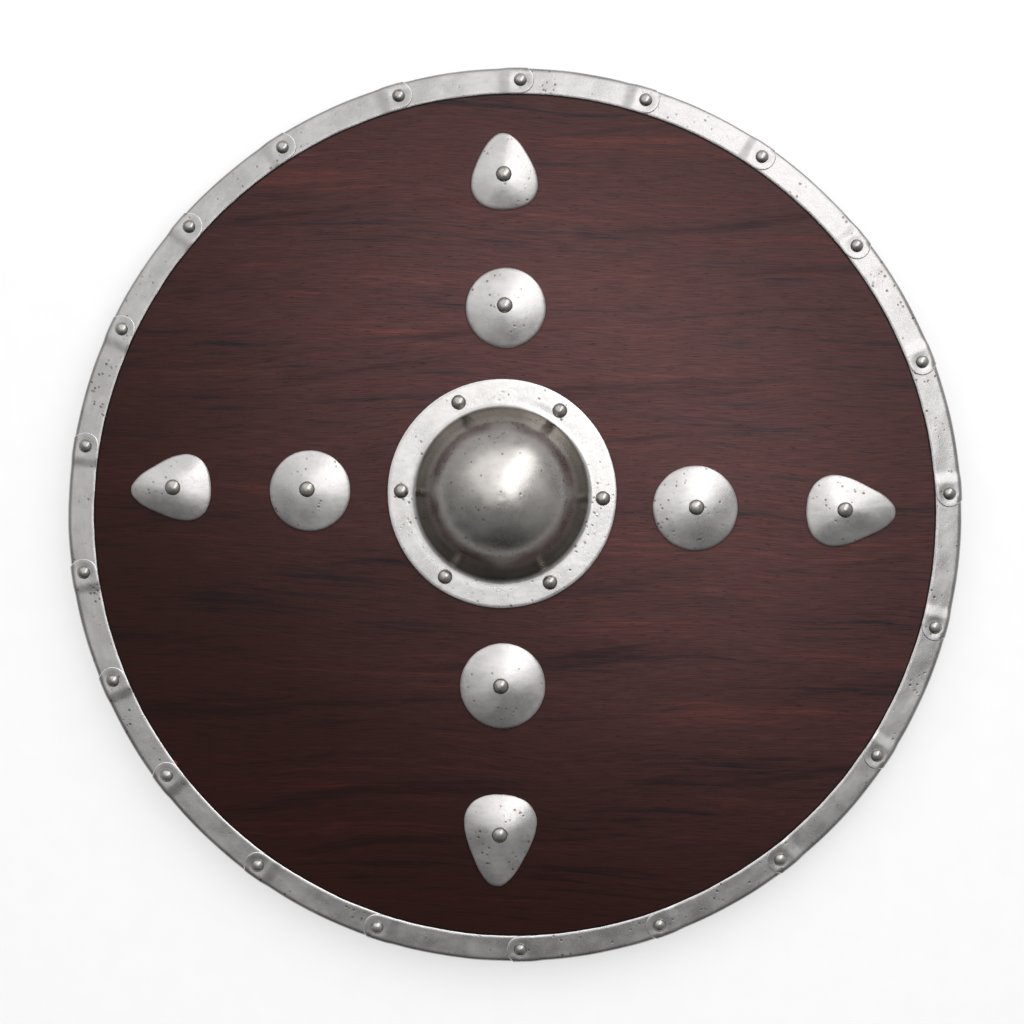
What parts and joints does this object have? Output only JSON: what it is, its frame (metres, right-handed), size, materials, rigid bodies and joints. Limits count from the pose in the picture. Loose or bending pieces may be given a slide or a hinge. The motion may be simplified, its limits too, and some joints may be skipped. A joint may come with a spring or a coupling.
{
  "type": "round shield",
  "caption": "Round wooden shield with a riveted steel rim, a domed steel boss over a hand hole, a cross of steel plates and a wooden grip behind.",
  "frame": {"origin": "middle of the round board's outline, on the surface that the grip's flat underside rests on", "axes": "+Z out of the shield's front, through the boss; +X to the right and +Y to the top as seen from the front, with the cross of plates along them"},
  "size_m": [0.6103, 0.6123, 0.0741],
  "materials": {
    "board_wood": "dark red-brown stained plywood, straight grain, satin",
    "grip_wood": "plain oiled hardwood, worn smooth at the handhold",
    "rim_steel": "satin mild steel sheet, fine pits and faint brown stains",
    "boss_steel": "polished and scratched mild steel, brighter satin flange",
    "plate_steel": "satin mild steel sheet, dished by hand",
    "rivet_steel": "darker steel, polished on top"
  },
  "bodies": {
    "root": {"board": "board_wood", "grip": "grip_wood", "boss": "boss_steel", "boss_rivet_1": "rivet_steel", "boss_rivet_2": "rivet_steel", "boss_rivet_3": "rivet_steel", "boss_rivet_4": "rivet_steel", "boss_rivet_5": "rivet_steel", "boss_rivet_6": "rivet_steel", "rim_strip_01": "rim_steel", "rim_strip_02": "rim_steel", "rim_strip_03": "rim_steel", "rim_strip_04": "rim_steel", "rim_strip_05": "rim_steel", "rim_strip_06": "rim_steel", "rim_strip_07": "rim_steel", "rim_strip_08": "rim_steel", "rim_strip_09": "rim_steel", "rim_strip_10": "rim_steel", "rim_strip_11": "rim_steel", "rim_strip_12": "rim_steel", "rim_strip_13": "rim_steel", "rim_strip_14": "rim_steel", "rim_strip_15": "rim_steel", "rim_strip_16": "rim_steel", "rim_strip_17": "rim_steel", "rim_strip_18": "rim_steel", "rim_strip_19": "rim_steel", "rim_strip_20": "rim_steel", "rim_strip_21": "rim_steel", "rim_rivet_01": "rivet_steel", "rim_rivet_02": "rivet_steel", "rim_rivet_03": "rivet_steel", "rim_rivet_04": "rivet_steel", "rim_rivet_05": "rivet_steel", "rim_rivet_06": "rivet_steel", "rim_rivet_07": "rivet_steel", "rim_rivet_08": "rivet_steel", "rim_rivet_09": "rivet_steel", "rim_rivet_10": "rivet_steel", "rim_rivet_11": "rivet_steel", "rim_rivet_12": "rivet_steel", "rim_rivet_13": "rivet_steel", "rim_rivet_14": "rivet_steel", "rim_rivet_15": "rivet_steel", "rim_rivet_16": "rivet_steel", "rim_rivet_17": "rivet_steel", "rim_rivet_18": "rivet_steel", "rim_rivet_19": "rivet_steel", "rim_rivet_20": "rivet_steel", "rim_rivet_21": "rivet_steel", "disc_plate_top": "plate_steel", "pear_plate_top": "plate_steel", "disc_plate_left": "plate_steel", "pear_plate_left": "plate_steel", "disc_plate_right": "plate_steel", "pear_plate_right": "plate_steel", "disc_plate_bottom": "plate_steel", "pear_plate_bottom": "plate_steel"}
  },
  "joints": []
}
